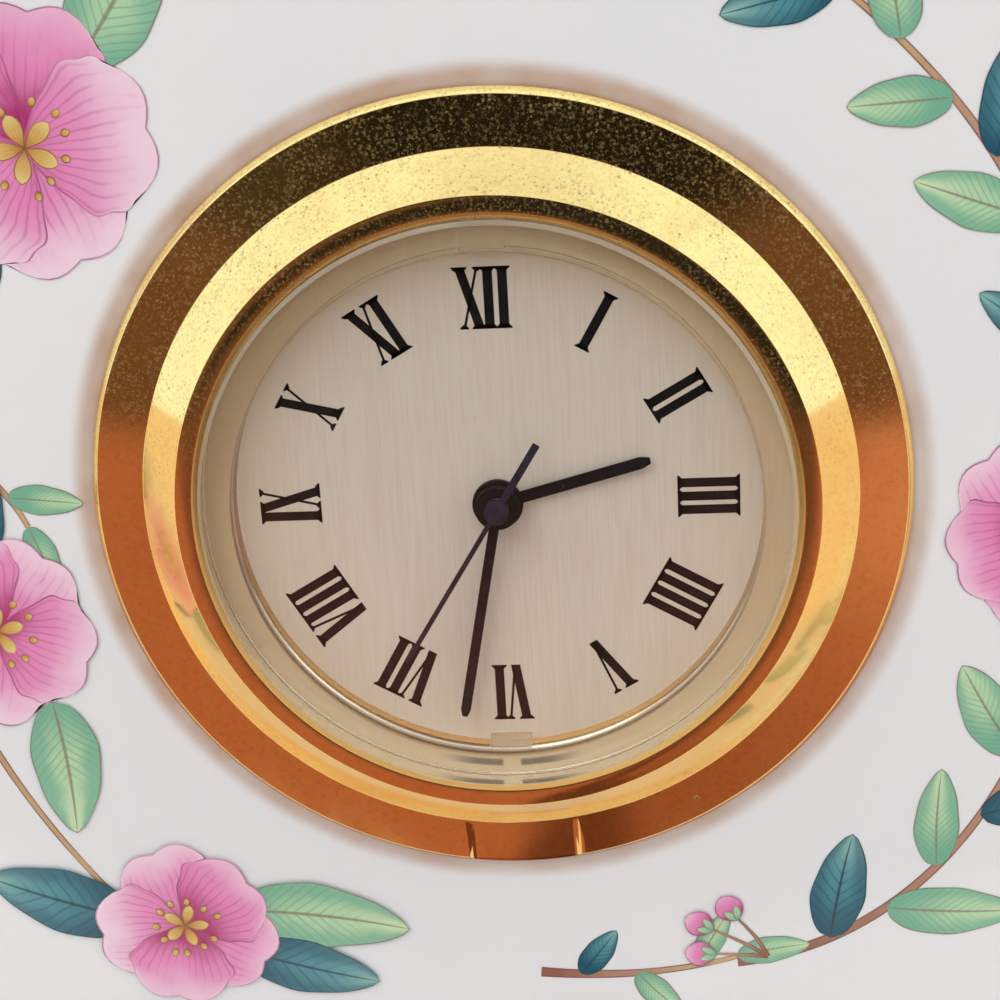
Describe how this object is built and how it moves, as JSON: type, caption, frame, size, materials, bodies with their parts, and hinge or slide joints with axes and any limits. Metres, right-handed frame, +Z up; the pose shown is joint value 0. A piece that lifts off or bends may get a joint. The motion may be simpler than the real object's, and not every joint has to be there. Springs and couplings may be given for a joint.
{
  "type": "table clock",
  "caption": "Small arched porcelain table clock with a floral decoration, a round stepped gold bezel, Roman numerals and a quartz movement in a push-in insert.",
  "frame": {"origin": "on the table, under the middle of the plinth", "axes": "+X to the reader's right, +Y from the dial towards the back, +Z up"},
  "size_m": [0.112, 0.046, 0.096],
  "materials": {
    "porcelain": "white glaze, high gloss",
    "gold_plate": "polished gold plate",
    "clear_acrylic": "clear moulded acrylic",
    "dial_metal": "vertically brushed champagne",
    "black_hands": "black paint",
    "black_plastic": "moulded black",
    "grip_rubber": "soft translucent white",
    "white_plastic": "natural moulded plastic",
    "plate_plastic": "moulded charcoal",
    "steel": "bright steel",
    "magnet": "sintered dark grey",
    "copper_wire": "enamelled copper wire",
    "board_green": "lacquered board",
    "chip_black": "cured resin",
    "bright_can": "nickel plate",
    "contact_brass": "sprung brass strip"
  },
  "bodies": {
    "case": {"porcelain_case": "porcelain"},
    "insert": {"bezel": "gold_plate", "crystal": "clear_acrylic", "dial": "dial_metal", "insert_cup": "black_plastic", "back_cover": "black_plastic", "grip_gasket": "grip_rubber", "dial_spacer": "white_plastic", "main_plate": "plate_plastic", "train_bridge": "plate_plastic", "cover_screws": "steel", "bridge_screws": "steel", "coil_screws": "steel", "stator": "steel", "coil_core": "steel", "coil_winding": "copper_wire", "circuit_board": "board_green", "chip_cap": "chip_black", "quartz_can": "bright_can", "battery_cell": "bright_can", "contact_plus": "contact_brass", "contact_minus": "contact_brass"},
    "second": {"second_hand": "black_hands", "second_arbor": "steel", "second_wheel": "white_plastic"},
    "intermediate": {"intermediate_wheel": "white_plastic"},
    "rotor": {"rotor_magnet": "magnet", "rotor_pinion": "white_plastic"},
    "third": {"third_wheel": "white_plastic"},
    "centre": {"centre_wheel": "white_plastic"},
    "minute": {"cannon_pinion": "white_plastic", "minute_hand": "black_hands"},
    "minute_works": {"minute_wheel": "white_plastic"},
    "hour": {"hour_wheel": "white_plastic", "hour_hand": "black_hands"},
    "setting": {"setting_stem": "white_plastic", "setting_knob": "black_plastic"},
    "hatch": {"battery_hatch": "black_plastic"}
  },
  "joints": [
    {"name": "insert_slide", "type": "slide", "parent": "case", "child": "insert", "axis": [0, -1, 0], "range_m": [0, 0.025]},
    {"name": "second_spin", "type": "hinge", "parent": "insert", "child": "second", "pos_m": [0, -0.0151, 0.046], "axis": [0, 1, 0], "continuous": true},
    {"name": "intermediate_spin", "type": "hinge", "parent": "insert", "child": "intermediate", "pos_m": [-0.00493, -0.0151, 0.04732], "axis": [0, 1, 0], "continuous": true},
    {"name": "rotor_spin", "type": "hinge", "parent": "insert", "child": "rotor", "pos_m": [-0.00779, -0.0151, 0.04972], "axis": [0, 1, 0], "continuous": true},
    {"name": "third_spin", "type": "hinge", "parent": "insert", "child": "third", "pos_m": [0.00442, -0.0151, 0.04855], "axis": [0, 1, 0], "continuous": true},
    {"name": "centre_spin", "type": "hinge", "parent": "insert", "child": "centre", "pos_m": [0, -0.0141, 0.046], "axis": [0, 1, 0], "continuous": true},
    {"name": "minute_spin", "type": "hinge", "parent": "insert", "child": "minute", "pos_m": [0, -0.0171, 0.046], "axis": [0, 1, 0], "continuous": true},
    {"name": "minute_works_spin", "type": "hinge", "parent": "insert", "child": "minute_works", "pos_m": [-0.00164, -0.0166, 0.04149], "axis": [0, 1, 0], "continuous": true},
    {"name": "hour_spin", "type": "hinge", "parent": "insert", "child": "hour", "pos_m": [0, -0.0173, 0.046], "axis": [0, 1, 0], "continuous": true},
    {"name": "setting_spin", "type": "hinge", "parent": "insert", "child": "setting", "pos_m": [-0.00557, -0.0061, 0.03874], "axis": [0, 1, 0], "continuous": true},
    {"name": "hatch_turn", "type": "hinge", "parent": "insert", "child": "hatch", "pos_m": [0.0095, -0.0061, 0.0385], "axis": [0, 1, 0], "range_deg": [0, 60]}
  ],
  "couplings": [
    {"joint": "intermediate_spin", "follows": "second_spin", "ratio": -4},
    {"joint": "rotor_spin", "follows": "second_spin", "ratio": 30},
    {"joint": "third_spin", "follows": "second_spin", "ratio": -0.13333},
    {"joint": "centre_spin", "follows": "second_spin", "ratio": 0.016667},
    {"joint": "minute_works_spin", "follows": "minute_spin", "ratio": -0.33333},
    {"joint": "hour_spin", "follows": "minute_spin", "ratio": 0.083333},
    {"joint": "setting_spin", "follows": "minute_spin", "ratio": 1}
  ]
}
